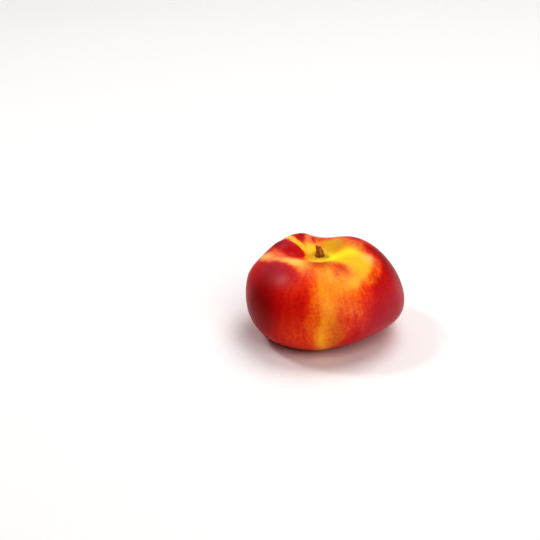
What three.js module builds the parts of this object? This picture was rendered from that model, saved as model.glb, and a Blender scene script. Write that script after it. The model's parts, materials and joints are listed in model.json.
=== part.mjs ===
// A flat nectarine as picked: one squat, lobed fruit with a stub of its stalk in the hollow on top.
// Millimetres, +Z up, origin on the table under the middle of the fruit.
// Azimuths are in degrees, seen from above: 0 is right, 90 back, 180 left and 270 front.
import * as THREE from "three";

// Driving dimensions of the fruit, round its stalk, before its lobes grow
const SHOULDER_HEIGHT = 38.2; // crest round the stalk's hollow
const SHOULDER_RADIUS = 14;
const SHOULDER_FULLNESS = 1.8; // exponent of the curve from crest to girth: 2 is an ellipse
const GIRTH_HEIGHT = 18.8;
const GIRTH_RADIUS = 34.5;
const BELLY_FULLNESS = 2.05; // exponent of the curve from girth to base
const BASE_RING_RADIUS = 15; // ring that the fruit stands on
const BLOSSOM_END_HEIGHT = 4.5; // top of the hollow in the base
const HOLLOW_FLOOR_HEIGHT = 35;
const HOLLOW_FLOOR_RADIUS = 4.5;
const PRESSED_FLAT = 0.35; // flesh pressed flat where the fruit stands
const OFF_CENTRE = { azimuth: 305, distance: 4.4 }; // the girth's middle, seen from the stalk

// Driving dimensions of the stalk
const STALK_RADIUS = 2.05; // at its root
const STALK_TIP_RADIUS = 1.15;
const STALK_LENGTH = 6.8;
const STALK_LEAN = { azimuth: 205, distance: 0.75 }; // its tip, seen from its root
const STALK_TAPER = { from: 0.3, to: 0.95 }; // shares of the length between which it thins
const STALK_RIDGES = { count: 5, depth: 0.12, twist: 2 }; // depth is a share of the radius, twist in radians
const STALK_KNOT = { from: 0.42, top: 0.62, to: 0.82, swell: 0.14 }; // its place in shares of the length
const BROKEN_TOP = { from: 0.7, rise: 0.45, dish: 0.4 }; // slants up and down by rise, dips in its middle
const WELL_DEPTH = 2.4; // the stalk's root stands this deep in the fruit
const WELL_CLEARANCE = 0.3;
const WELL_RADIUS = STALK_RADIUS + WELL_CLEARANCE;

// Lobes round the fruit, which fade over their spread: swell is how far the girth stands out, rise how far
// the shoulder stands up, droop how far the girth hangs, and tuck how far the underside is drawn up
const LOBES = [
  { azimuth: 354, spread: 38, swell: -0.5, rise: -0.6, droop: 2.6, tuck: 2.2 },
  { azimuth: 28, spread: 25, swell: 0.7, rise: 1.7, droop: 0, tuck: 0 },
  { azimuth: 84, spread: 24, swell: -0.4, rise: -2.2, droop: 0, tuck: 0 },
  { azimuth: 120, spread: 18, swell: 0.3, rise: 1.6, droop: 0, tuck: 0 },
  { azimuth: 156, spread: 18, swell: 0.2, rise: 1.3, droop: 0, tuck: 0 },
  { azimuth: 222, spread: 32, swell: 0.8, rise: 0.4, droop: 0.9, tuck: 0 },
  { azimuth: 316, spread: 34, swell: -0.2, rise: 0, droop: 0.6, tuck: 2.9 },
];

// Grooves down the side: the suture, its faint partner opposite, and the valley between two lobes. Their ends
// are shares of the way along the section, from the stalk's well to the blossom end
const GROOVES = [
  { azimuth: 143, spread: 6, depth: 0.8, from: 0.03, to: 0.7 },
  { azimuth: 281, spread: 8, depth: 0.6, from: 0.25, to: 0.95 },
  { azimuth: 182, spread: 21, depth: 4, from: 0, to: 0.42 },
];
const GROOVE_OPENS_OVER = 0.1;
const GROOVE_CLOSES_OVER = 0.25;

// Stretches of the section that the lobes act on, in the same shares: most at top, nothing past from and to
const SHOULDER = { from: 0, top: 0.17, to: 0.5 };
const GIRTH = { from: 0.02, top: 0.47, to: 1 };
const UNDERSIDE = { from: 0.42, top: 0.66, to: 1 };

// Facets
const FRUIT_SIDES = 80;
const FRUIT_ROWS = 42;
const CURVE_STEPS = 8;
const STALK_SIDES = 25;
const STALK_ROWS = 14;

const { degToRad, euclideanModulo, lerp, radToDeg, smoothstep } = THREE.MathUtils;

// 1 at the middle of a lobe or groove, fading to 0 over its spread
function bell(azimuth, { azimuth: middle, spread }) {
  const away = euclideanModulo(azimuth - middle + 180, 360) - 180;
  return Math.exp(-((away / spread) ** 2));
}

// 0 up to from, 1 at top, and 0 again past to
function hump(share, { from, top, to }) {
  return share < top ? smoothstep(share, from, top) : 1 - smoothstep(share, top, to);
}

// A quarter turn that leaves start level and reaches end upright, bulged by an exponent
function quarter(start, end, fullness) {
  const points = [];
  for (let step = 0; step <= CURVE_STEPS; step += 1) {
    const turn = (step / CURVE_STEPS) * (Math.PI / 2);
    const across = Math.sin(turn) ** (2 / fullness);
    const down = 1 - Math.max(0, Math.cos(turn)) ** (2 / fullness);
    points.push(new THREE.Vector2(lerp(start.x, end.x, across), lerp(start.y, end.y, down)));
  }
  return points;
}

// Half of the plain section, from the floor of the stalk's well over shoulder and girth to the blossom end
function fruitSection() {
  const lip = new THREE.Vector2(WELL_RADIUS, HOLLOW_FLOOR_HEIGHT);
  const crest = new THREE.Vector2(SHOULDER_RADIUS, SHOULDER_HEIGHT);
  const girth = new THREE.Vector2(GIRTH_RADIUS, GIRTH_HEIGHT);
  const ring = new THREE.Vector2(BASE_RING_RADIUS, 0);
  const hollow = [];
  const blossomEnd = [];
  for (let step = 0; step < CURVE_STEPS; step += 1) {
    const wallRadius = lerp(HOLLOW_FLOOR_RADIUS, crest.x, step / CURVE_STEPS);
    const climb = smoothstep(wallRadius, HOLLOW_FLOOR_RADIUS, crest.x);
    hollow.push(new THREE.Vector2(wallRadius, lerp(lip.y, crest.y, climb)));
    const endRadius = lerp(ring.x, 0, (step + 1) / CURVE_STEPS);
    const arch = 1 - smoothstep(endRadius, 0, ring.x);
    blossomEnd.push(new THREE.Vector2(endRadius, BLOSSOM_END_HEIGHT * arch));
  }
  const skin = new THREE.SplineCurve([
    lip,
    ...hollow,
    ...quarter(crest, girth, SHOULDER_FULLNESS),
    ...quarter(ring, girth, BELLY_FULLNESS).reverse().slice(1),
    ...blossomEnd,
  ]);
  const wellFloor = lip.y - WELL_DEPTH;
  const well = [new THREE.Vector2(0, wellFloor), new THREE.Vector2(WELL_RADIUS, wellFloor)];
  return { well, skin: skin.getSpacedPoints(FRUIT_ROWS) };
}

// Moves a point of the plain, round fruit to where the lobes and grooves put it
function growLobes(point, share) {
  const radius = Math.hypot(point.x, point.y);
  if (radius < 1e-6) return;
  const azimuth = radToDeg(Math.atan2(point.y, point.x));
  const onShoulder = hump(share, SHOULDER);
  const onGirth = hump(share, GIRTH);
  const onUnderside = hump(share, UNDERSIDE);
  let outward = OFF_CENTRE.distance * Math.cos(degToRad(azimuth - OFF_CENTRE.azimuth)) * onGirth;
  let upward = 0;
  for (const lobe of LOBES) {
    const strength = bell(azimuth, lobe);
    outward += strength * lobe.swell * onGirth;
    upward += strength * (lobe.rise * onShoulder - lobe.droop * onGirth + lobe.tuck * onUnderside);
  }
  const sideways = Math.min(1, share * 2);
  for (const groove of GROOVES) {
    const opened = smoothstep(share, groove.from, groove.from + GROOVE_OPENS_OVER);
    const closed = smoothstep(share, groove.to - GROOVE_CLOSES_OVER, groove.to);
    const depth = groove.depth * bell(azimuth, groove) * opened * (1 - closed);
    outward -= depth * sideways;
    upward -= depth * (1 - sideways);
  }
  point.x *= 1 + outward / radius;
  point.y *= 1 + outward / radius;
  point.z += upward;
}

function fruitGeometry() {
  const { well, skin } = fruitSection();
  const section = [...well, ...skin].reverse();
  const geometry = new THREE.LatheGeometry(section, FRUIT_SIDES).rotateX(Math.PI / 2);
  const positions = geometry.getAttribute("position");
  const point = new THREE.Vector3();
  for (let i = 0; i < positions.count; i += 1) {
    const row = skin.length - 1 - (i % section.length);
    if (row < 0) continue;
    point.fromBufferAttribute(positions, i);
    growLobes(point, row / FRUIT_ROWS);
    positions.setXYZ(i, point.x, point.y, Math.max(PRESSED_FLAT, point.z));
  }
  return geometry.translate(0, 0, -PRESSED_FLAT);
}

// Half of the stalk's section: a tapering stub with a knot below its dished top
function stalkSection() {
  const { from, to } = STALK_TAPER;
  const section = [new THREE.Vector2(0, 0)];
  for (let row = 0; row <= STALK_ROWS; row += 1) {
    const share = row / STALK_ROWS;
    const taper = lerp(STALK_RADIUS, STALK_TIP_RADIUS, smoothstep(share, from, to));
    const knot = STALK_KNOT.swell * hump(share, STALK_KNOT);
    section.push(new THREE.Vector2(taper + knot, share * STALK_LENGTH));
  }
  section.push(new THREE.Vector2(STALK_TIP_RADIUS / 2, STALK_LENGTH - BROKEN_TOP.dish * 0.7));
  section.push(new THREE.Vector2(0, STALK_LENGTH - BROKEN_TOP.dish));
  return section;
}

// The stub is ridged along its length, leans above the fruit, and its broken top slants
function stalkGeometry() {
  const geometry = new THREE.LatheGeometry(stalkSection(), STALK_SIDES).rotateX(Math.PI / 2);
  const positions = geometry.getAttribute("position");
  const lean = new THREE.Vector2(1, 0).rotateAround(new THREE.Vector2(), degToRad(STALK_LEAN.azimuth));
  for (let i = 0; i < positions.count; i += 1) {
    const across = new THREE.Vector2(positions.getX(i), positions.getY(i));
    const z = positions.getZ(i);
    const height = Math.max(0, z - WELL_DEPTH) / (STALK_LENGTH - WELL_DEPTH);
    const offMiddle = across.dot(lean) / STALK_TIP_RADIUS;
    const slant = BROKEN_TOP.rise * offMiddle * smoothstep(height, BROKEN_TOP.from, 1);
    const furrow = 0.5 - 0.5 * Math.cos(STALK_RIDGES.count * across.angle() + STALK_RIDGES.twist * height);
    across.multiplyScalar(1 - STALK_RIDGES.depth * furrow);
    across.addScaledVector(lean, STALK_LEAN.distance * height ** 1.5);
    positions.setXYZ(i, across.x, across.y, z + slant);
  }
  return geometry;
}

const skin = new THREE.MeshStandardMaterial({ color: 0xd8481e, roughness: 0.38, metalness: 0 });
const bark = new THREE.MeshStandardMaterial({ color: 0x6b4320, roughness: 0.85, metalness: 0 });

const fruit = new THREE.Mesh(fruitGeometry(), skin);
fruit.name = "fruit";

const stalk = new THREE.Mesh(stalkGeometry(), bark);
stalk.name = "stalk";
stalk.position.z = HOLLOW_FLOOR_HEIGHT - WELL_DEPTH + WELL_CLEARANCE - PRESSED_FLAT;

// The stalk stands off the middle, so the whole is shifted until the fruit's middle is over the origin
const nectarine = new THREE.Group();
nectarine.add(fruit, stalk);
const middle = new THREE.Box3().setFromObject(fruit).getCenter(new THREE.Vector3());
nectarine.position.set(-middle.x, -middle.y, 0);

export default nectarine;
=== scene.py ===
"""A flat nectarine as picked: its lobed skin with the blush, and the stub of its stalk, on a pale floor."""

import json
import math
from collections import namedtuple

import bpy
import numpy as np
from bpy.props import FloatProperty, FloatVectorProperty, PointerProperty
from mathutils import Matrix, Vector, noise

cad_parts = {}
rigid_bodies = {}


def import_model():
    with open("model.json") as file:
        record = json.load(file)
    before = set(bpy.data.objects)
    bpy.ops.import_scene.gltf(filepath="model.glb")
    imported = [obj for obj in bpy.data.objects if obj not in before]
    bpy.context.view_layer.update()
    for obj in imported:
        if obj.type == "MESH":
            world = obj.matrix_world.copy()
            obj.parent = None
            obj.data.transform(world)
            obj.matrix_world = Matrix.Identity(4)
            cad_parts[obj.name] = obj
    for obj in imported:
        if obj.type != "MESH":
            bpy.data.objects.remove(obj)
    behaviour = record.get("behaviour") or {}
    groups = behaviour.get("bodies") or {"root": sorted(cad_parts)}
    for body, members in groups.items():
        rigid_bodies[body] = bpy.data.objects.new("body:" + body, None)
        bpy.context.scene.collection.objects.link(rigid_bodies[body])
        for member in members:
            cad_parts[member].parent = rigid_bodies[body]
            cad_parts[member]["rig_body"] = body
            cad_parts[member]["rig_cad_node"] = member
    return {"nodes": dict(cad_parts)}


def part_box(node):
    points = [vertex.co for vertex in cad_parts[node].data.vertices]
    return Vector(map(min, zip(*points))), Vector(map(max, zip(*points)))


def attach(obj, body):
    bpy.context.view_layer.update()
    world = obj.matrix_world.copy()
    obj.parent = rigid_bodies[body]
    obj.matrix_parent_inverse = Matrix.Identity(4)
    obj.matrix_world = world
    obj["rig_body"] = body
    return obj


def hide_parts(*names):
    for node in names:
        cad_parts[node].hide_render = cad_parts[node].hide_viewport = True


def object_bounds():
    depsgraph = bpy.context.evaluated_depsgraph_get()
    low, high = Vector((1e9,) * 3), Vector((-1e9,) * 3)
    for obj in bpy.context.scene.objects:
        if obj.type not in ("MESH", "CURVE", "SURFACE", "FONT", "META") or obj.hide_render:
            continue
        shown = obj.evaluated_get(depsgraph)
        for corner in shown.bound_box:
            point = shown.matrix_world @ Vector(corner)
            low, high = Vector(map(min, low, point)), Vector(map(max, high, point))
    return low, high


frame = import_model()

bl_info = {
    "name": "Flat Nectarine",
    "version": (1, 0, 0),
    "blender": (4, 5, 0),
    "location": "View3D > Sidebar > Nectarine",
    "description": "Builds a flat nectarine with its blush, its stalk and a pale studio round it",
    "category": "Add Mesh",
}

MM = 0.001  # the scene is in metres, and sizes are named in millimetres
CAD_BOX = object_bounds()


def linear(colour):
    """A colour written as six sRGB hex digits, as linear red, green and blue."""
    channels = [int(colour[place : place + 2], 16) / 255 for place in (0, 2, 4)]
    return tuple(c / 12.92 if c <= 0.04045 else ((c + 0.055) / 1.055) ** 2.4 for c in channels)


def colour_property(name, colour, description):
    return FloatVectorProperty(
        name=name, description=description, subtype="COLOR", size=3, min=0, max=1, default=linear(colour)
    )


def length_property(name, millimetres, description):
    return FloatProperty(
        name=name, description=description, unit="LENGTH", subtype="DISTANCE", min=0, default=millimetres * MM
    )


def share_property(name, share, description):
    return FloatProperty(name=name, description=description, subtype="FACTOR", min=0, max=1, default=share)


# Places and directions


def stalk_foot():
    """Middle of the stalk's root, in the bottom of the well that it stands in."""
    corners = [vertex.co for vertex in frame["nodes"]["stalk"].data.vertices]
    lowest = min(corner.z for corner in corners)
    root = [corner for corner in corners if corner.z < lowest + 0.1 * MM]
    return sum(root, Vector()) / len(root)


FOOT = stalk_foot()
FRUIT_LOW, FRUIT_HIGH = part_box("fruit")
HEART = Vector((FOOT.x, FOOT.y, 18 * MM))  # middle that falls are measured from
STALK_END = 60  # falls short of this lie at the stalk's end of the fruit
BLOSSOM_END = 120  # falls past this lie at its blossom end


def heading(azimuth, elevation=0.0):
    """The direction of an azimuth and an elevation in degrees, with azimuth 270 at the front."""
    turn, tilt = math.radians(azimuth), math.radians(elevation)
    return Vector((math.cos(turn) * math.cos(tilt), math.sin(turn) * math.cos(tilt), math.sin(tilt)))


def places_on_fruit(points):
    """Azimuth round the stalk and fall from straight above, both in degrees, for an array of points."""
    away = points - np.array(HEART)
    azimuth = np.degrees(np.arctan2(away[:, 1], away[:, 0])) % 360
    fall = np.degrees(np.arctan2(np.hypot(away[:, 0], away[:, 1]), away[:, 2]))
    return azimuth, fall


def from_axis(points):
    """How far each point lies from the upright line through the stalk's foot."""
    return np.hypot(points[:, 0] - FOOT.x, points[:, 1] - FOOT.y)


def beside(azimuth, middle):
    """How far round from a middle azimuth each azimuth lies, from -180 to 180 degrees."""
    return (azimuth - middle + 180) % 360 - 180


def fade_in(values, nought, one):
    """0 at the first limit and before it, 1 at the second and past it, and even between them."""
    return np.clip((values - nought) / (one - nought), 0, 1)


def wandering(points, size, seed):
    """Smooth noise from about -1 to 1 at each of the points, with features of a size in metres."""
    offset = Vector((seed, 2 * seed, 3 * seed))
    return np.array([noise.noise(Vector(point) / size + offset) for point in points])


# Blush, bloom with painted sheen, and green with painted shade

# A patch is one soft touch of a wide brush. Azimuth is where it lies round the stalk in degrees, with 270 at
# the front, and fall is how far it lies down from straight above the fruit's heart. Across and down are half
# its size in the same degrees, turn tilts it, soft is the share of it that is a faded edge, level is what it
# brings the skin to and cover is how much of it takes. Later patches lie over earlier ones.
Patch = namedtuple("Patch", "azimuth fall across down turn soft level cover")

# 0 is lemon yellow ground, 0.5 orange, 0.75 full red and 1 maroon
BARE_BLUSH = 0.78
BLUSH = [
    # Underside, which grows in the shade
    Patch(0, 180, 400, 48, 0, 0.5, 0.42, 0.9),
    Patch(290, 160, 60, 30, 0, 0.8, 0.3, 0.7),
    # Back, which shows streaks of orange between red lobes
    Patch(60, 62, 14, 26, 0, 0.9, 0.64, 0.6),
    Patch(100, 82, 16, 34, 0, 0.9, 0.9, 0.7),
    Patch(44, 84, 26, 30, 0, 0.9, 0.85, 0.7),
    Patch(168, 92, 22, 26, 0, 0.8, 0.9, 0.8),
    # Rim at the back, orange to the left and red to the right
    Patch(84, 44, 34, 13, 0, 0.5, 0.5, 0.95),
    Patch(30, 36, 20, 6, 0, 0.8, 0.68, 0.9),
    # Hollow round the stalk
    Patch(0, 0, 400, 25, 0, 0.3, 0.17, 1),
    Patch(56, 27, 36, 10, 0, 0.6, 0.2, 0.95),
    Patch(86, 28, 14, 4, 0, 0.8, 0.34, 0.8),
    Patch(175, 18, 30, 5, 0, 0.8, 0.32, 0.9),
    Patch(122, 19, 32, 8.5, 0, 0.35, 0.17, 1),
    # Hump at the back left: salmon with slanting dark red streaks
    Patch(112, 37, 15, 9, 0, 0.4, 0.48, 0.9),
    Patch(127, 33, 8, 3.4, -14, 0.5, 0.84, 0.95),
    Patch(116, 39, 10, 3.5, -22, 0.7, 0.94, 0.9),
    Patch(103, 34, 2.5, 7, 40, 0.7, 0.68, 0.9),
    Patch(109, 35, 2.5, 8, 30, 0.6, 0.5, 0.9),
    Patch(117, 28, 6, 3, 0, 0.8, 0.46, 0.7),
    # Red patch on the far side of the valley, which runs on behind the lip
    Patch(166, 39, 19, 17, 0, 0.16, 0.78, 1),
    Patch(200, 30, 30, 8.5, -4, 0.35, 0.78, 0.95),
    Patch(184, 45, 26, 5, -22, 0.7, 0.5, 0.9),
    # Painted shade: the dark strip along the valley's left side
    Patch(154, 55, 7, 12, 0, 0.6, 0.88, 0.9),
    # Golden band of the suture, with a sharp edge against the red
    Patch(146, 27, 8.5, 11, 0, 0.3, 0.2, 1),
    Patch(138, 43, 12, 4.5, 116, 0.3, 0.22, 1),
    Patch(131, 57, 5, 6, 20, 0.9, 0.5, 0.8),
    # Lip in front of the hollow, and its pale crest, which runs down to the left over the saddle; along the lip
    # the crest is partly a painted highlight
    Patch(258, 40, 24, 12, 0, 0.6, 0.36, 1),
    Patch(231, 38.5, 25, 5.5, -7, 0.6, 0.25, 1),
    Patch(212, 29, 19, 5, 0, 0.6, 0.7, 0.95),
    Patch(194, 49, 24, 5.5, -24, 0.5, 0.24, 1),
    Patch(173, 60, 13, 6, -30, 0.7, 0.16, 1),
    Patch(160, 70, 6, 4, -30, 0.9, 0.5, 0.7),
    Patch(262, 22, 32, 5, 0, 0.6, 0.18, 0.9),
    # Partly the crest's own pale colour and partly a painted highlight along it
    Patch(262, 28, 34, 2.5, 0, 0.8, 0.12, 0.85),
    # Right shoulder
    Patch(338, 32, 42, 22, 0, 0.4, 0.06, 1),
    Patch(322, 47, 34, 15, 0, 0.5, 0.23, 1),
    Patch(31, 43, 23, 12, 0, 0.7, 0.5, 1),
    Patch(7, 48, 8, 6, 0, 0.8, 0.48, 0.9),
    Patch(348, 54, 12, 5.5, 0, 0.8, 0.24, 0.95),
    Patch(38, 46, 13, 8, 0, 0.8, 0.8, 0.9),
    Patch(14, 52, 8, 5, 0, 0.9, 0.78, 0.9),
    # Front: golden orange, browner under the lip where shade is painted, and redder right of the middle, with
    # yellow streaks
    Patch(284, 62, 36, 20, 0, 0.4, 0.38, 1),
    Patch(257, 51, 12, 10, 0, 0.7, 0.47, 0.9),
    # Painted shade: the darker orange band just under the lip's crest
    Patch(268, 36, 18, 5, 0, 0.8, 0.55, 0.9),
    Patch(292, 36, 10, 4, 0, 0.8, 0.34, 0.9),
    Patch(298, 44, 9, 6, 0, 0.9, 0.6, 0.9),
    Patch(288, 50, 5, 4, 0, 0.8, 0.5, 0.8),
    Patch(279, 50, 5, 11, 0, 0.8, 0.33, 0.9),
    Patch(312, 60, 20, 4.5, -12, 0.7, 0.26, 0.9),
    Patch(287, 64, 9, 3.5, 0, 0.8, 0.3, 0.9),
    Patch(273, 84, 9.5, 40, 0, 0.6, 0.4, 1),
    # Right side: red below a slanting edge, freckled at its left
    Patch(347, 93, 60, 33, 0, 0.26, 0.73, 1),
    Patch(340, 68, 22, 7, 0, 0.8, 0.77, 0.9),
    Patch(8, 80, 19, 22, 0, 0.9, 0.9, 0.9),
    Patch(14, 63, 10, 7, 0, 0.9, 0.88, 0.9),
    Patch(340, 62.2, 22, 3.2, -8, 0.8, 0.49, 0.8),
    Patch(319, 64, 6, 3.5, 0, 0.8, 0.44, 0.75),
    Patch(308, 72, 6, 5, 0, 0.8, 0.57, 0.7),
    Patch(293, 77, 9, 12, -30, 0.9, 0.5, 0.9),
    Patch(286, 88, 5, 10, 0, 0.8, 0.6, 0.9),
    Patch(328, 90, 26, 16, 0, 0.8, 0.8, 0.8),
    # Left cheek: red up to an arched edge, maroon low down, partly as painted shade, and browner towards the
    # middle of the front
    Patch(221, 80, 47, 33.8, 0, 0.12, 0.72, 1),
    Patch(194, 89, 40, 30, 0, 0.14, 0.74, 1),
    Patch(267, 72, 8, 22, 0, 0.9, 0.5, 0.8),
    Patch(274, 67, 6, 15, 0, 0.8, 0.35, 0.8),
    Patch(254, 59, 9, 11, 0, 0.9, 0.63, 0.85),
    Patch(208, 57, 28, 9, 0, 0.8, 0.79, 0.9),
    Patch(255, 75, 8, 9, 0, 0.8, 0.73, 0.9),
    # Partly the cheek's own maroon and partly painted shade low on the left
    Patch(218, 86, 20, 20, 0, 0.6, 0.885, 1),
    Patch(256, 100, 13, 16, 0, 0.7, 0.62, 0.95),
    Patch(267, 89, 4.5, 18, 0, 0.8, 0.49, 0.85),
    Patch(271, 100, 4, 14, 0, 0.9, 0.27, 0.9),
    Patch(280, 97, 5, 13, 0, 0.8, 0.49, 0.9),
    Patch(277, 84, 4, 7, 0, 0.8, 0.37, 0.8),
]

# 0 is clear skin and 1 is skin under its full waxy bloom together with a painted sheen that stands in for soft
# reflections of the lights and the floor, which turns yellow to cream and red to raspberry
BARE_BLOOM_AND_SHEEN = 0.04
BLOOM_AND_SHEEN = [
    Patch(100, 60, 60, 20, 0, 0.9, 0.35, 0.8),
    Patch(38, 42, 20, 12, 0, 0.8, 0.6, 0.9),
    Patch(110, 36, 13, 9, 0, 0.8, 0.7, 0.9),
    Patch(136, 47, 9, 9, 0, 0.6, 0.5, 0.8),
    Patch(155, 42, 9, 9, 0, 0.8, 0.85, 1),
    Patch(184, 44, 24, 5, -20, 0.8, 0.6, 0.9),
    Patch(180, 55, 24, 9, -26, 0.7, 0.85, 1),
    Patch(216, 40, 34, 6, 0, 0.6, 0.6, 1),
    Patch(262, 22, 34, 7, 0, 0.8, 0.5, 0.9),
    Patch(250, 48, 12, 8, 0, 0.8, 0.4, 0.9),
    # Painted sheen: the pinkish reflection across the top of the left cheek
    Patch(208, 56, 32, 11, 0, 0.6, 0.9, 1),
    Patch(190, 72, 16, 12, 0, 0.8, 0.5, 0.9),
    Patch(354, 53, 12, 6, 0, 0.9, 0.75, 0.9),
    # Painted sheen: the pale reflection of the floor low on the right side
    Patch(330, 91, 34, 15, 0, 0.8, 1, 1),
]

# 0 is none of the green that stays round the stalk and dulls the blush where the fruit was shaded on the tree.
# The same dulling is also laid on as painted shade under the lip and low on the front
BARE_OLIVE_AND_SHADE = 0.0
OLIVE_AND_SHADE = [
    Patch(0, 6, 400, 9, 0, 0.5, 0.5, 1),
    Patch(50, 24, 42, 13, 0, 0.8, 0.42, 1),
    Patch(215, 14, 40, 7, 0, 0.8, 0.4, 0.9),
    # A darker green spot right of the stalk
    Patch(340, 12, 20, 4, 0, 0.6, 0.85, 0.9),
    # Painted shade under the lip's crest and on the orange patch right of it
    Patch(274, 37, 26, 6, 0, 0.7, 0.55, 0.9),
    Patch(299, 46, 12, 8, 0, 0.8, 0.35, 0.9),
    Patch(326, 66, 9, 4, -8, 0.8, 0.35, 0.9),
    Patch(352, 60, 6, 4, 0, 0.8, 0.3, 0.9),
    # Partly ochre and partly painted shade low on the front
    Patch(281, 98, 5, 14, 0, 0.8, 0.4, 0.9),
    Patch(92, 21, 20, 7, 0, 0.8, 0.35, 0.9),
    Patch(16, 44, 18, 8, 0, 0.7, 0.35, 0.9),
    Patch(84, 38, 24, 8, 0, 0.7, 0.4, 0.9),
]

EDGE_WANDER = 1.3  # degrees that a patch's edge strays by
EDGE_WANDER_SIZE = 4.5 * MM
LEAST_GIRTH = 0.3  # share of the fruit's girth below which an edge strays no further round


def paint(points, patches, bare):
    """The level of each point once every patch has been laid on the bare skin in turn."""
    azimuth, fall = places_on_fruit(points)
    girth = np.maximum(np.sin(np.radians(fall)), LEAST_GIRTH)
    azimuth = azimuth + EDGE_WANDER * wandering(points, EDGE_WANDER_SIZE, seed=7) / girth
    fall = fall + EDGE_WANDER * wandering(points, EDGE_WANDER_SIZE, seed=19)
    level = np.full(len(points), float(bare))
    for patch in patches:
        sideways = beside(azimuth, patch.azimuth)
        below = fall - patch.fall
        turn = math.radians(patch.turn)
        along = (sideways * math.cos(turn) + below * math.sin(turn)) / patch.across
        athwart = (below * math.cos(turn) - sideways * math.sin(turn)) / patch.down
        faded = fade_in(np.hypot(along, athwart), 1 + patch.soft, 1 - patch.soft)
        touch = patch.cover * faded * faded * (3 - 2 * faded)
        level += (patch.level - level) * touch
    return level


def store(piece, name, values, kind="FLOAT"):
    """Keeps a value, or a vector, for each point of the piece, where its material reads it."""
    attribute = piece.data.attributes.new(name, kind, "POINT")
    key = "vector" if kind == "FLOAT_VECTOR" else "value"
    attribute.data.foreach_set(key, np.asarray(values, np.float32).ravel())


# Modelling


def points_of(piece):
    points = np.empty(len(piece.data.vertices) * 3)
    piece.data.vertices.foreach_get("co", points)
    return points.reshape(-1, 3)


def normals_of(piece):
    normals = np.empty(len(piece.data.vertices) * 3)
    piece.data.vertex_normals.foreach_get("vector", normals)
    return normals.reshape(-1, 3)


def move_points(piece, points):
    piece.data.vertices.foreach_set("co", points.ravel())
    piece.data.update()


def select_only(piece):
    bpy.ops.object.select_all(action="DESELECT")
    piece.select_set(True)
    bpy.context.view_layer.objects.active = piece


def select_faces(piece, wanted):
    """In edit mode, leaves just those faces selected whose middle passes the test."""
    bpy.ops.object.mode_set(mode="EDIT")
    bpy.ops.mesh.select_mode(type="FACE")
    bpy.ops.mesh.select_all(action="DESELECT")
    bpy.ops.object.mode_set(mode="OBJECT")
    for face in piece.data.polygons:
        face.select = wanted(face.center)
    bpy.ops.object.mode_set(mode="EDIT")


def smooth(piece, levels):
    """Applies subdivision, so that the mesh holds the smooth surface."""
    select_only(piece)
    bpy.ops.object.modifier_add(type="SUBSURF")
    modifier = piece.modifiers[-1]
    modifier.levels = levels
    modifier.render_levels = levels
    bpy.ops.object.modifier_apply(modifier=modifier.name)
    bpy.ops.object.shade_smooth()


def copy_of_fruit(name):
    """A free copy of the CAD fruit, with its loose triangles joined into a grid of quads."""
    select_only(frame["nodes"]["fruit"])
    bpy.ops.object.duplicate()
    piece = bpy.context.active_object
    piece.name = piece.data.name = name
    bpy.ops.object.parent_clear(type="CLEAR_KEEP_TRANSFORM")
    del piece["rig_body"]
    del piece["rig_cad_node"]
    piece.data.materials.clear()
    bpy.ops.object.mode_set(mode="EDIT")
    bpy.ops.mesh.select_all(action="SELECT")
    bpy.ops.mesh.customdata_custom_splitnormals_clear()
    bpy.ops.mesh.remove_doubles(threshold=0.01 * MM)
    bpy.ops.mesh.tris_convert_to_quads(face_threshold=math.pi, shape_threshold=math.pi)
    return piece


WELL_RADIUS = 2.36 * MM  # room cut for the stalk's root in the CAD fruit
SCAR_RADIUS = 1.5 * MM
# Rings that close the skin, from the outside in: share of the ring before, and rise in millimetres
STALK_GRIP = [(0.88, -0.12), (0.94, -0.4), (0.9, -0.8)]
BLOSSOM_SCAR = [(0.7, 0.15), (0.7, 0.1), (0.8, -0.35), (0.4, -0.2)]


def draw_in(piece, wanted, rings):
    """Takes out the faces that pass the test, and closes the gap with rings drawn in towards the axis."""
    select_faces(piece, wanted)
    bpy.ops.mesh.delete(type="FACE")
    bpy.ops.mesh.select_mode(type="EDGE")
    bpy.ops.mesh.select_all(action="DESELECT")
    bpy.ops.mesh.select_non_manifold()
    for shrink, rise in rings:
        bpy.ops.mesh.extrude_region_move(TRANSFORM_OT_translate={"value": (0, 0, rise * MM)})
        bpy.ops.transform.resize(value=(shrink, shrink, 1), center_override=FOOT)
    bpy.ops.mesh.edge_face_add()


def close_round_stalk(piece):
    """Takes the stalk's well out, and draws the skin in until it grips the stalk."""
    draw_in(
        piece,
        lambda middle: (middle - FOOT).xy.length < WELL_RADIUS and middle.z > HEART.z,
        STALK_GRIP,
    )


def close_blossom_end(piece):
    """Makes the dry point where the flower fell off, in the middle of the hollow in the base."""
    draw_in(
        piece,
        lambda middle: (middle - FOOT).xy.length < SCAR_RADIUS and middle.z < HEART.z,
        BLOSSOM_SCAR,
    )


SUTURE_AZIMUTH = 143
CREASE_WIDTH = 0.8 * MM
# Falls at which the suture's crease is nought and at which it is whole, at the stalk and at the blossom end
CREASE_HEAD = (14, 26)
CREASE_TAIL = (120, 90)
STALK_PUCKERS = 13
BLOSSOM_PUCKERS = 17
PUCKER_RING = 3 * MM  # how far from the middle the gathers are highest
PUCKER_REACH = 3.2 * MM
PUCKER_STRAY = 2.5  # radians that the gathers stray by, so that no two are alike
PUCKER_STRAY_SIZE = 4 * MM
COLLAR_HEIGHT = 0.35 * MM  # how far the skin swells up round the stalk
COLLAR_WIDTH = 4.5 * MM
STANDS_ON = 0.8 * MM  # height over which the relief fades out above the table

# Lobes: where the suture runs out over the rim, the left cheek under the saddle, and low at the right
Swelling = namedtuple("Swelling", "azimuth fall across down height")
SWELLINGS = [
    Swelling(142, 48, 17, 11, 0.7 * MM),
    Swelling(177, 75, 21, 10, 1.2 * MM),
    Swelling(346, 103, 25, 10, 0.7 * MM),
]


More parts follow.
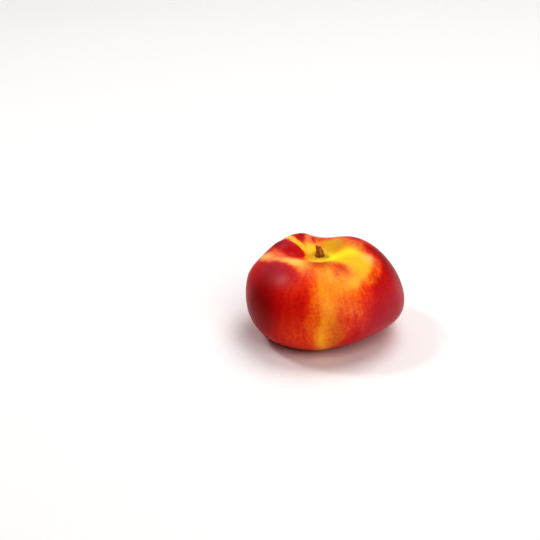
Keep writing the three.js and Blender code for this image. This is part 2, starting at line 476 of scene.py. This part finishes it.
def gathers(points, azimuth, count, seed):
    """The gathers of the skin round one end of the fruit, from -1 to 1."""
    stray = PUCKER_STRAY * wandering(points, PUCKER_STRAY_SIZE, seed)
    waves = np.cos(np.radians(azimuth) * count + stray)
    return waves * np.exp(-(((from_axis(points) - PUCKER_RING) / PUCKER_REACH) ** 2))


def raise_relief(piece, settings):
    """Moves the skin in and out: faint swellings, the suture's crease, gathers, lobes and a collar."""
    points = points_of(piece)
    azimuth, fall = places_on_fruit(points)
    radius = from_axis(points)
    height = settings.swelling_height * wandering(points, settings.swelling_size, seed=3)
    from_suture = np.radians(beside(azimuth, SUTURE_AZIMUTH)) * radius
    on_side = fade_in(fall, *CREASE_HEAD) * fade_in(fall, *CREASE_TAIL)
    height -= settings.crease_depth * np.exp(-((from_suture / CREASE_WIDTH) ** 2)) * on_side
    at_stalk = gathers(points, azimuth, STALK_PUCKERS, seed=31) * (fall < STALK_END)
    at_blossom = gathers(points, azimuth, BLOSSOM_PUCKERS, seed=37) * (fall > BLOSSOM_END)
    height += settings.pucker_height * (at_stalk + at_blossom)
    for swelling in SWELLINGS:
        sideways = beside(azimuth, swelling.azimuth) / swelling.across
        away = np.hypot(sideways, (fall - swelling.fall) / swelling.down)
        height += swelling.height * np.exp(-(away**2))
    points += normals_of(piece) * (height * fade_in(points[:, 2], 0, STANDS_ON))[:, None]
    points[:, 2] = np.maximum(points[:, 2], FRUIT_LOW.z)
    points[:, 2] += COLLAR_HEIGHT * np.exp(-((radius / COLLAR_WIDTH) ** 2)) * (fall < STALK_END)
    move_points(piece, points)


SCAR_EDGE = (1.3 * MM, 0.8 * MM)  # radii between which skin gives way to the dry scar
STREAK_SHORTENING = 0.16  # a streak is this many times as wide as it is long


def colour_skin(piece):
    """Stores the blush, the bloom with its painted sheen, the green with its painted shade, the scar and the run
    of the skin's streaks on the mesh.
    """
    points = points_of(piece)
    azimuth, fall = places_on_fruit(points)
    store(piece, "blush", paint(points, BLUSH, BARE_BLUSH))
    store(piece, "bloom", paint(points, BLOOM_AND_SHEEN, BARE_BLOOM_AND_SHEEN))
    store(piece, "olive", paint(points, OLIVE_AND_SHADE, BARE_OLIVE_AND_SHADE))
    store(piece, "scar", fade_in(from_axis(points), *SCAR_EDGE) * (fall > BLOSSOM_END))
    half_width = FRUIT_HIGH.x
    turn = np.radians(azimuth)
    down = np.radians(fall) * half_width * STREAK_SHORTENING
    run = [np.cos(turn) * half_width, np.sin(turn) * half_width, down]
    store(piece, "streak_run", np.column_stack(run), "FLOAT_VECTOR")


# Materials


def add_node(tree, kind, inputs=None, stops=None, **settings):
    """Adds a node with its settings, its ramp's stops, and the values or links of its inputs."""
    node = tree.nodes.new(kind)
    for name, value in settings.items():
        setattr(node, name, value)
    if stops:
        ramp = node.color_ramp
        while len(ramp.elements) > 1:
            ramp.elements.remove(ramp.elements[-1])
        for place, (position, colour) in enumerate(stops):
            element = ramp.elements[0] if place == 0 else ramp.elements.new(position)
            element.position = position
            element.color = (*colour, 1)
    for name, value in (inputs or {}).items():
        if isinstance(value, bpy.types.NodeSocket):
            tree.links.new(value, node.inputs[name])
        else:
            node.inputs[name].default_value = value
    return node


def new_material(name):
    """An empty material with its tree and its shader, and the shader joined to the output."""
    material = bpy.data.materials.new(name)
    material.use_nodes = True
    tree = material.node_tree
    tree.nodes.clear()
    shader = add_node(tree, "ShaderNodeBsdfPrincipled")
    add_node(tree, "ShaderNodeOutputMaterial", {"Surface": shader.outputs["BSDF"]})
    return material, tree, shader


MIXED_COLOUR = 2  # place of the colour among a Mix node's outputs
FIBRE_CONTRAST = 0.9  # how far the fibres shift the bark's wear
FIBRE_HEIGHT = 0.08 * MM


def broken_blush(tree, blush, mottle, settings):
    """The blush broken into streaks and freckles, most of all where it is neither absent nor full."""
    run = add_node(tree, "ShaderNodeAttribute", attribute_name="streak_run").outputs["Vector"]
    streaks = add_node(
        tree,
        "ShaderNodeTexNoise",
        {"Vector": run, "Scale": 1 / settings.streak_width, "Detail": 3, "Roughness": 0.6},
    ).outputs["Fac"]
    # The level, times what it lacks to full, times four is 1 halfway and 0 at both ends, and its cube is narrower
    clear = add_node(tree, "ShaderNodeMath", {0: 1.0, 1: blush}, operation="SUBTRACT").outputs[0]
    halfway = add_node(tree, "ShaderNodeMath", {0: blush, 1: clear}, operation="MULTIPLY").outputs[0]
    halfway = add_node(tree, "ShaderNodeMath", {0: halfway, 1: 4.0}, operation="MULTIPLY").outputs[0]
    halfway = add_node(tree, "ShaderNodeMath", {0: halfway, 1: 3.0}, operation="POWER").outputs[0]
    streaky = add_node(tree, "ShaderNodeMath", {0: streaks, 1: -0.5}, operation="ADD").outputs[0]
    mottled = add_node(tree, "ShaderNodeMath", {0: mottle, 1: -0.5}, operation="ADD").outputs[0]
    streaky = add_node(
        tree, "ShaderNodeMath", {0: streaky, 1: settings.streak_strength}, operation="MULTIPLY"
    ).outputs[0]
    pattern = add_node(
        tree,
        "ShaderNodeMath",
        {0: mottled, 1: settings.mottle_strength, 2: streaky},
        operation="MULTIPLY_ADD",
    ).outputs[0]
    return add_node(
        tree, "ShaderNodeMath", {0: pattern, 1: halfway, 2: blush}, operation="MULTIPLY_ADD"
    ).outputs[0]


def skin_colour(tree, blush, bloom, settings):
    """The colour of each level of the blush: clear where there is no bloom or painted sheen, hazed where they are
    full.
    """
    clear_stops = [
        (0.0, settings.lemon),
        (0.18, settings.gold),
        (0.36, settings.apricot),
        (0.5, settings.orange),
        (0.62, settings.scarlet),
        (0.75, settings.red),
        (0.88, settings.garnet),
        (1.0, settings.maroon),
    ]
    # Skin under full waxy bloom and under the painted sheen, a paler, hazier copy of the clear colours
    hazed_and_sheened_stops = [
        (0.0, settings.cream),
        (0.25, settings.peach),
        (0.48, settings.salmon),
        (0.62, settings.coral),
        (0.76, settings.raspberry),
        (1.0, settings.plum),
    ]
    clear = add_node(tree, "ShaderNodeValToRGB", {"Fac": blush}, stops=clear_stops).outputs["Color"]
    hazed_and_sheened = add_node(tree, "ShaderNodeValToRGB", {"Fac": blush}, stops=hazed_and_sheened_stops).outputs["Color"]
    return add_node(
        tree, "ShaderNodeMix", {"Factor": bloom, "A": clear, "B": hazed_and_sheened}, data_type="RGBA"
    ).outputs[MIXED_COLOUR]


def blushed_skin(settings):
    """Nectarine skin: hairless, with a thin natural wax. To the eye it is taut and softly glossy, yellow
    under a red blush that breaks into streaks and freckles at its edges, hazed where the wax is thick and where a
    sheen is painted, and dulled by painted shade under the lip and low on the front."""
    material, tree, shader = new_material("blushed_nectarine_skin")
    place = add_node(tree, "ShaderNodeTexCoord").outputs["Object"]
    blush, bloom, olive, scar = (
        add_node(tree, "ShaderNodeAttribute", attribute_name=name).outputs["Fac"]
        for name in ("blush", "bloom", "olive", "scar")
    )
    mottle = add_node(
        tree,
        "ShaderNodeTexNoise",
        {"Vector": place, "Scale": 1 / settings.mottle_size, "Detail": 3, "Roughness": 0.65},
    ).outputs["Fac"]
    # Pores lie a spacing apart, and distances from them are in shares of that spacing
    from_pore = add_node(
        tree,
        "ShaderNodeTexVoronoi",
        {"Vector": place, "Scale": 1 / settings.lenticel_spacing, "Randomness": 1.0},
    ).outputs["Distance"]
    pore = add_node(
        tree,
        "ShaderNodeMapRange",
        {"Value": from_pore, "From Min": 0.05, "From Max": 0.17, "To Min": 1.0, "To Max": 0.0},
    ).outputs[0]
    broken = broken_blush(tree, blush, mottle, settings)
    paled = add_node(
        tree,
        "ShaderNodeMath",
        {0: pore, 1: -settings.lenticel_paleness, 2: broken},
        operation="MULTIPLY_ADD",
    ).outputs[0]
    # The green round the stalk, and painted shade under the lip and low on the front
    greened_and_shaded = add_node(
        tree,
        "ShaderNodeMix",
        {"Factor": olive, "A": skin_colour(tree, paled, bloom, settings), "B": (*settings.olive, 1)},
        data_type="RGBA",
        blend_type="MULTIPLY",
    ).outputs[MIXED_COLOUR]
    corky = add_node(
        tree, "ShaderNodeMix", {"Factor": scar, "A": greened_and_shaded, "B": (*settings.cork, 1)}, data_type="RGBA"
    ).outputs[MIXED_COLOUR]
    tree.links.new(corky, shader.inputs["Base Color"])

    grain = add_node(
        tree,
        "ShaderNodeTexNoise",
        {"Vector": place, "Scale": 1 / settings.grain_size, "Detail": 2, "Roughness": 0.5},
    ).outputs["Fac"]
    relief = add_node(
        tree, "ShaderNodeMath", {0: pore, 1: 0.5, 2: grain}, operation="MULTIPLY_ADD"
    ).outputs[0]
    bump = add_node(
        tree, "ShaderNodeBump", {"Height": relief, "Strength": 0.35, "Distance": settings.grain_height}
    ).outputs["Normal"]
    tree.links.new(bump, shader.inputs["Normal"])
    waxed = add_node(
        tree,
        "ShaderNodeMapRange",
        {"Value": mottle, "From Min": 0.3, "From Max": 0.7, "To Min": 0.34, "To Max": 0.44},
    ).outputs[0]
    tree.links.new(waxed, shader.inputs["Roughness"])
    shader.inputs["IOR"].default_value = 1.42
    shader.inputs["Specular IOR Level"].default_value = 0.1
    shader.inputs["Coat Weight"].default_value = 0.04
    shader.inputs["Coat Roughness"].default_value = 0.17
    shader.inputs["Subsurface Weight"].default_value = 0.12
    shader.inputs["Subsurface Radius"].default_value = (1.0, 0.35, 0.12)
    shader.inputs["Subsurface Scale"].default_value = 1.5 * MM
    return material


def weathered_bark(settings):
    """Stalk bark: dry, weathered brown and cracked along the grain, darker in its cracks and with painted shade
    at its foot and over its knot, with pale torn wood bare at its top.
    """
    material, tree, shader = new_material("weathered_stalk_bark")
    place = add_node(tree, "ShaderNodeTexCoord").outputs["Object"]
    weather, torn = (
        add_node(tree, "ShaderNodeAttribute", attribute_name=name).outputs["Fac"]
        for name in ("weather", "torn")
    )
    # Fibres are four times as long as they are wide
    along_grain = add_node(
        tree, "ShaderNodeMapping", {"Vector": place, "Scale": (1.0, 1.0, 0.25)}
    ).outputs[0]
    fibres = add_node(
        tree,
        "ShaderNodeTexNoise",
        {"Vector": along_grain, "Scale": 1 / settings.fibre_width, "Detail": 4, "Roughness": 0.65},
    ).outputs["Fac"]
    centred = add_node(tree, "ShaderNodeMath", {0: fibres, 1: -0.5}, operation="ADD").outputs[0]
    uneven = add_node(
        tree, "ShaderNodeMath", {0: centred, 1: FIBRE_CONTRAST, 2: weather}, operation="MULTIPLY_ADD"
    ).outputs[0]
    bark = add_node(
        tree,
        "ShaderNodeValToRGB",
        {"Fac": uneven},
        stops=[(0.0, settings.crack), (0.4, settings.bark), (0.75, settings.ridge), (1.0, settings.worn)],
    ).outputs["Color"]
    wood = add_node(
        tree, "ShaderNodeMix", {"Factor": torn, "A": bark, "B": (*settings.torn_wood, 1)}, data_type="RGBA"
    ).outputs[MIXED_COLOUR]
    bump = add_node(
        tree, "ShaderNodeBump", {"Height": fibres, "Strength": 0.6, "Distance": FIBRE_HEIGHT}
    ).outputs["Normal"]
    tree.links.new(wood, shader.inputs["Base Color"])
    tree.links.new(bump, shader.inputs["Normal"])
    shader.inputs["Roughness"].default_value = 0.82
    return material


def white_board(settings):
    """Matt white board: lacquered smooth, so it gives light back evenly, with no clear reflection."""
    material, _, shader = new_material("matt_white_board")
    shader.inputs["Base Color"].default_value = (*settings.floor, 1)
    shader.inputs["Roughness"].default_value = 0.55
    return material


# Settings


class SkinSettings(bpy.types.PropertyGroup):
    """Sizes and colours of the fruit's skin."""

    lemon: colour_property("Lemon", "fcec22", "Ground colour of skin that the sun never reddened")
    gold: colour_property("Gold", "fbc01c", "Ground colour where the first blush shows")
    apricot: colour_property("Apricot", "f8941e", "Light blush")
    orange: colour_property("Orange", "f0650f", "Half blush")
    scarlet: colour_property("Scarlet", "e03408", "Strong blush")
    red: colour_property("Red", "c60c04", "Full blush")
    garnet: colour_property("Garnet", "920402", "Blush on the sunniest side")
    maroon: colour_property("Maroon", "580202", "Darkest blush")
    # Cream to plum are the colours under full waxy bloom and under the painted sheen
    cream: colour_property("Cream", "fbe28c", "Lemon ground under full bloom")
    peach: colour_property("Peach", "fcc878", "Gold under full bloom")
    salmon: colour_property("Salmon", "f48a58", "Orange under full bloom")
    coral: colour_property("Coral", "de5244", "Scarlet under full bloom")
    raspberry: colour_property("Raspberry", "b42e3a", "Red under full bloom")
    plum: colour_property("Plum", "641a2a", "Maroon under full bloom")
    # Also darkens the skin where shade is painted under the lip and low on the front
    olive: colour_property("Olive", "9aa03c", "Green left round the stalk, which filters the colour under it")
    cork: colour_property("Cork", "6b4526", "Dry scar at the blossom end")
    swelling_size: length_property("Swelling Size", 9, "Width of the faint swellings of the surface")
    swelling_height: length_property("Swelling Height", 0.12, "How far the faint swellings stand out")
    crease_depth: length_property("Crease Depth", 0.14, "Depth of the fine crease in the suture")
    pucker_height: length_property("Pucker Height", 0.09, "Height of the gathers at both ends")
    streak_width: length_property("Streak Width", 1.8, "Width of the streaks that run from stalk to base")
    streak_strength: share_property("Streak Strength", 0.25, "How far a streak shifts a half blush")
    mottle_size: length_property("Mottle Size", 1.5, "Width of the freckles in the blush")
    mottle_strength: share_property("Mottle Strength", 0.35, "How far a freckle shifts a half blush")
    lenticel_spacing: length_property("Lenticel Spacing", 2.4, "Distance between the skin's pale pores")
    lenticel_paleness: share_property("Lenticel Paleness", 0.08, "How far a pore pales the blush")
    grain_size: length_property("Grain Size", 0.7, "Width of the finest relief, coarser than life to show")
    grain_height: length_property("Grain Height", 0.03, "Height of the skin's finest relief")


class StalkSettings(bpy.types.PropertyGroup):
    """Sizes and colours of the stalk."""

    # The darkest stop, also the painted shade at the stalk's foot and over its knot
    crack: colour_property("Crack", "86481c", "Bottom of the bark's cracks")
    bark: colour_property("Bark", "bc7226", "Bark")
    ridge: colour_property("Ridge", "d0903e", "Bark on the ridges")
    worn: colour_property("Worn", "d2a468", "Worn edges of the ridges")
    torn_wood: colour_property("Torn Wood", "c48a54", "Bare wood in the broken top")
    fibre_width: length_property("Fibre Width", 0.35, "Width of the fibres in the bark")
    ridge_depth: length_property("Ridge Depth", 0.16, "Depth of the furrows between the ridges")
    crack_depth: length_property("Crack Depth", 0.12, "Depth of the fine cracks along the stalk")


class StudioSettings(bpy.types.PropertyGroup):
    """The floor, the lights and the camera."""

    floor: colour_property("Floor", "f4f2f2", "Colour of the floor")
    floor_size: FloatProperty(name="Floor Size", description="Width of the floor", unit="LENGTH", default=6.0)
    elevation: FloatProperty(
        name="Elevation",
        description="Height of the camera above the horizon",
        subtype="ANGLE",
        default=math.radians(28),
    )
    distance: FloatProperty(
        name="Distance", description="From the camera to the fruit's foot", unit="LENGTH", default=1.0
    )
    fill: FloatProperty(name="Fill", description="Strength of the light from all round", default=0.1)
    key_power: FloatProperty(
        name="Key Power", description="Power of the soft box at the right", unit="POWER", default=4.4
    )
    back_power: FloatProperty(
        name="Back Power", description="Power of the soft box behind", unit="POWER", default=1.1
    )
    window_power: FloatProperty(
        name="Window Power", description="Power of the window at the back left", unit="POWER", default=1.6
    )
    front_power: FloatProperty(
        name="Front Power", description="Power of the soft box at the front right", unit="POWER", default=5.7
    )


# Fruit


class NECTARINE_OT_skin(bpy.types.Operator):
    """Makes the fruit's skin over the CAD fruit."""

    bl_idname = "nectarine.skin"
    bl_label = "Fruit Skin"

    def execute(self, context):
        settings = context.scene.nectarine_skin
        piece = copy_of_fruit("nectarine_skin")
        close_round_stalk(piece)
        close_blossom_end(piece)
        bpy.ops.object.mode_set(mode="OBJECT")
        smooth(piece, 2)
        raise_relief(piece, settings)
        colour_skin(piece)
        piece.data.materials.append(blushed_skin(settings))
        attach(piece, "root")
        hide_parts("fruit")
        return {"FINISHED"}


# Stalk

STALK_SIDES = 30
# Rings of the stalk from its root to its broken top: height over the root and radius, in millimetres
STALK_RINGS = [
    (1.9, 1.95),
    (2.5, 2.08),
    (3.0, 2.0),
    (3.6, 1.86),
    (4.2, 1.72),
    (4.8, 1.62),
    (5.5, 1.52),
    (6.15, 1.34),
    (6.75, 1.2),
    (7.15, 1.16),
]
# Rings of the broken top, from the outside in: share of the ring before, and rise in millimetres
STALK_TOP_RINGS = [(0.82, 0.02), (0.6, -0.16), (0.45, -0.12)]
STALK_START = 0.4 * MM  # height over the root of its hidden lower end
STALK_ROOT_RADIUS = 1.9 * MM
STALK_TIP_RADIUS = 1.16 * MM
STALK_CLEAR = 2.4 * MM  # height over the root at which it comes clear of the skin
STALK_LENGTH = 4.4 * MM  # from there to its tip
STALK_LEAN = heading(205) * 0.75 * MM
LEAN_CURVE = 1.5  # above 1, it leans more the higher it is
STALK_RIDGES = 5
RIDGE_TWIST = 2  # radians that the ridges wind by from the foot to the tip
BARK_EDGE = (0.7, 1.0)  # shares of the tip's radius between which the bark's relief grows
CRACK_SIZE = 0.5 * MM
CRACK_SHORTENING = 0.22  # a crack is this many times as wide as it is long
LUMP_SIZE = 1.1 * MM
LUMP_HEIGHT = 0.07 * MM
TOP_START = 0.75  # share of the stalk's length at which the broken top starts
SLANT_HEIGHT = 0.45 * MM  # how far the top rises at the side that the stalk leans to
SPLINTER_SIZE = 0.42 * MM
SPLINTER_HEIGHT = 0.22 * MM
# Painted shade where the stalk goes down into the skin
SHADED_FOOT = (3.2 * MM, 2.4 * MM)  # heights between which the bark darkens towards the hollow
TORN_EDGE = (0.85, 0.65)  # shares of the tip's radius between which bark gives way to bare wood
TORN_COVER = 0.9
# The eye is the pit in the knot's middle, its depth a share of the swell. The eye and the painted shade over
# the knot are so many times as narrow as the knot.
KNOT = {
    "azimuth": 335,
    "height": 4.9 * MM,
    "spread": 0.55 * MM,
    "swell": 0.3 * MM,
    "eye_depth": 0.9,
    "eye_narrowing": 2.4,
    "shade_narrowing": 1.6,
}


def lean_at(height):
    """How far the stalk's middle has leant at a height over its root."""
    clear = max(0.0, height - STALK_CLEAR)
    return STALK_LEAN * (clear / STALK_LENGTH) ** LEAN_CURVE


def raise_stalk(name):
    """The smooth stub: rings extruded up the stalk's line, then in and down into the broken top."""
    bpy.ops.object.select_all(action="DESELECT")
    bpy.ops.mesh.primitive_circle_add(
        vertices=STALK_SIDES,
        radius=STALK_ROOT_RADIUS,
        fill_type="NGON",
        location=FOOT + Vector((0, 0, STALK_START)),
    )
    piece = bpy.context.active_object
    piece.name = piece.data.name = name
    bpy.ops.object.transform_apply(location=True, rotation=True, scale=True)
    bpy.ops.object.mode_set(mode="EDIT")
    bpy.ops.mesh.select_all(action="SELECT")
    height, radius = STALK_START, STALK_ROOT_RADIUS
    for ring_height, ring_radius in STALK_RINGS:
        step = Vector((0, 0, ring_height * MM - height)) + lean_at(ring_height * MM) - lean_at(height)
        bpy.ops.mesh.extrude_region_move(TRANSFORM_OT_translate={"value": step})
        height = ring_height * MM
        middle = FOOT + lean_at(height) + Vector((0, 0, height))
        shrink = ring_radius * MM / radius
        bpy.ops.transform.resize(value=(shrink, shrink, shrink), center_override=middle)
        radius = ring_radius * MM
    for shrink, rise in STALK_TOP_RINGS:
        bpy.ops.mesh.extrude_region_move(TRANSFORM_OT_translate={"value": (0, 0, rise * MM)})
        bpy.ops.transform.resize(value=(shrink, shrink, shrink), center_override=middle)
    bpy.ops.mesh.select_all(action="SELECT")
    bpy.ops.mesh.normals_make_consistent(inside=False)
    bpy.ops.object.mode_set(mode="OBJECT")
    return piece


def weather_stalk(piece, settings):
    """Ridges, knot, cracks and the splintered slant of the top, how worn each point is with painted shade in it,
    and how torn.
    """
    points = points_of(piece)
    height = points[:, 2] - FOOT.z
    middles = np.array([FOOT + lean_at(h) for h in height])
    across = points[:, :2] - middles[:, :2]
    radius = np.maximum(np.hypot(across[:, 0], across[:, 1]), 1e-9)
    outward = across / radius[:, None]
    turn = np.arctan2(across[:, 1], across[:, 0])
    share = fade_in(height, STALK_CLEAR, STALK_CLEAR + STALK_LENGTH)

    furrow = 0.5 - 0.5 * np.cos(STALK_RIDGES * turn + RIDGE_TWIST * share)
    cracks = wandering(points * np.array([1, 1, CRACK_SHORTENING]), CRACK_SIZE, seed=5)
    cracks = np.maximum(0, cracks)
    lumps = wandering(points, LUMP_SIZE, seed=11)
    relief = LUMP_HEIGHT * lumps - settings.ridge_depth * furrow - settings.crack_depth * cracks
    round_knot = np.radians(beside(np.degrees(turn), KNOT["azimuth"])) * radius
    from_knot = np.hypot(round_knot, height - KNOT["height"]) / KNOT["spread"]
    eye = KNOT["eye_depth"] * np.exp(-((from_knot * KNOT["eye_narrowing"]) ** 2))
    relief += KNOT["swell"] * (np.exp(-(from_knot**2)) - eye)
    relief *= fade_in(radius / STALK_TIP_RADIUS, *BARK_EDGE)
    points[:, :2] += outward * relief[:, None]

    near_top = fade_in(share, TOP_START, 1)
    slant = SLANT_HEIGHT * (across @ np.array(STALK_LEAN.normalized())[:2]) / STALK_TIP_RADIUS
    splinters = SPLINTER_HEIGHT * wandering(points * np.array([1, 1, 0]), SPLINTER_SIZE, seed=23)
    points[:, 2] += near_top * (slant + splinters)
    move_points(piece, points)

    # How worn the bark is, from 0 in a crack to 1 on an edge, with painted shade over the knot and at the foot:
    # each feature adds or takes a share of its own
    weather = 0.5 + 0.5 * lumps - 0.32 * furrow - 0.8 * cracks
    # Painted shade over the knot and in its eye
    weather -= 0.6 * np.exp(-((from_knot * KNOT["shade_narrowing"]) ** 2))
    # Painted shade where the stalk goes down into the hollow
    weather -= 0.5 * fade_in(height, *SHADED_FOOT)
    store(piece, "weather", np.clip(weather, 0, 1))
    store(piece, "torn", near_top * fade_in(radius / STALK_TIP_RADIUS, *TORN_EDGE) * TORN_COVER)


class NECTARINE_OT_stalk(bpy.types.Operator):
    """Makes the stub of the stalk in place of the CAD stalk."""

    bl_idname = "nectarine.stalk"
    bl_label = "Stalk"

    def execute(self, context):
        settings = context.scene.nectarine_stalk
        piece = raise_stalk("nectarine_stalk")
        smooth(piece, 2)
        weather_stalk(piece, settings)
        piece.data.materials.append(weathered_bark(settings))
        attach(piece, "root")
        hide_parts("stalk")
        return {"FINISHED"}


# Studio

FRAME_PIXELS = 540  # width and height of the photograph
FOOT_PIXEL = (325, 330)  # where the middle of the fruit's foot is seen
PIXELS_PER_MM = 2.264  # at that foot
SENSOR_WIDTH = 36

# Soft lights: azimuth and elevation in degrees as seen from the fruit, and distance and size in metres
Softbox = namedtuple("Softbox", "name azimuth elevation distance size colour")
SOFTBOXES = [
    Softbox("key", 47, 66, 0.9, (0.6, 0.6), (1.0, 0.99, 0.97)),
    Softbox("back", 88, 44, 1.1, (1.0, 0.6), (1.0, 0.98, 0.96)),
    Softbox("window", 159, 49, 0.8, (0.16, 0.16), (1.0, 1.0, 1.0)),
    Softbox("front", 302, 42, 1.1, (0.8, 0.8), (1.0, 0.99, 0.97)),
]


def add_softbox(softbox, power):
    """Adds a soft area light, aimed at the fruit."""
    place = HEART + heading(softbox.azimuth, softbox.elevation) * softbox.distance
    bpy.ops.object.light_add(type="AREA", location=place)
    light = bpy.context.active_object
    light.name = softbox.name
    light.data.shape = "RECTANGLE"
    light.data.size, light.data.size_y = softbox.size
    light.data.energy = power
    light.data.color = softbox.colour
    light.rotation_euler = (HEART - light.location).to_track_quat("-Z", "Y").to_euler()


class NECTARINE_OT_studio(bpy.types.Operator):
    """Adds the floor, the lights and the camera."""

    bl_idname = "nectarine.studio"
    bl_label = "Studio"

    def execute(self, context):
        settings = context.scene.nectarine_studio
        bpy.ops.object.select_all(action="DESELECT")
        bpy.ops.mesh.primitive_plane_add(size=settings.floor_size, location=(0, 0, CAD_BOX[0].z))
        floor = bpy.context.active_object
        floor.name = "studio_floor"
        bpy.ops.object.transform_apply(location=True, rotation=True, scale=True)
        floor.data.materials.append(white_board(settings))

        for softbox in SOFTBOXES:
            add_softbox(softbox, getattr(settings, f"{softbox.name}_power"))
        world = bpy.data.worlds.new("pale_room")
        context.scene.world = world
        world.use_nodes = True
        background = world.node_tree.nodes["Background"]
        background.inputs["Color"].default_value = (1.0, 1.0, 1.0, 1)
        background.inputs["Strength"].default_value = settings.fill

        tilt = settings.elevation
        place = Vector((0, -math.cos(tilt), math.sin(tilt))) * settings.distance
        bpy.ops.object.camera_add(location=place)
        camera = bpy.context.active_object
        # From looking at the fruit's foot, it is turned left and up until the foot falls on its own pixel
        a_pixel = MM / PIXELS_PER_MM / settings.distance
        leftward = math.atan((FOOT_PIXEL[0] - FRAME_PIXELS / 2) * a_pixel)
        upward = math.atan((FOOT_PIXEL[1] - FRAME_PIXELS / 2) * a_pixel)
        facing = Matrix.Rotation(math.pi / 2 - tilt, 3, "X") @ Matrix.Rotation(leftward, 3, "Y")
        camera.rotation_euler = (facing @ Matrix.Rotation(upward, 3, "X")).to_euler()
        camera.data.sensor_width = SENSOR_WIDTH
        camera.data.lens = SENSOR_WIDTH * PIXELS_PER_MM / MM * settings.distance / FRAME_PIXELS
        context.scene.camera = camera
        context.scene.view_settings.view_transform = "Standard"
        context.scene.view_settings.look = "Medium High Contrast"
        return {"FINISHED"}


# Panel and registration


class NECTARINE_PT_panel(bpy.types.Panel):
    """Lists the pieces and their settings."""

    bl_idname = "NECTARINE_PT_panel"
    bl_label = "Nectarine"
    bl_space_type = "VIEW_3D"
    bl_region_type = "UI"
    bl_category = "Nectarine"

    def draw(self, context):
        scene = context.scene
        for operator, settings in (
            ("nectarine.skin", scene.nectarine_skin),
            ("nectarine.stalk", scene.nectarine_stalk),
            ("nectarine.studio", scene.nectarine_studio),
        ):
            box = self.layout.box()
            box.operator(operator)
            for name in settings.__annotations__:
                box.prop(settings, name)


CLASSES = (
    SkinSettings,
    StalkSettings,
    StudioSettings,
    NECTARINE_OT_skin,
    NECTARINE_OT_stalk,
    NECTARINE_OT_studio,
    NECTARINE_PT_panel,
)


def register():
    for cls in CLASSES:
        bpy.utils.register_class(cls)
    bpy.types.Scene.nectarine_skin = PointerProperty(type=SkinSettings)
    bpy.types.Scene.nectarine_stalk = PointerProperty(type=StalkSettings)
    bpy.types.Scene.nectarine_studio = PointerProperty(type=StudioSettings)


def unregister():
    del bpy.types.Scene.nectarine_studio
    del bpy.types.Scene.nectarine_stalk
    del bpy.types.Scene.nectarine_skin
    for cls in reversed(CLASSES):
        bpy.utils.unregister_class(cls)


def main():
    register()
    bpy.ops.nectarine.studio()
    bpy.ops.nectarine.skin()
    bpy.ops.nectarine.stalk()


if __name__ == "__main__":
    main()
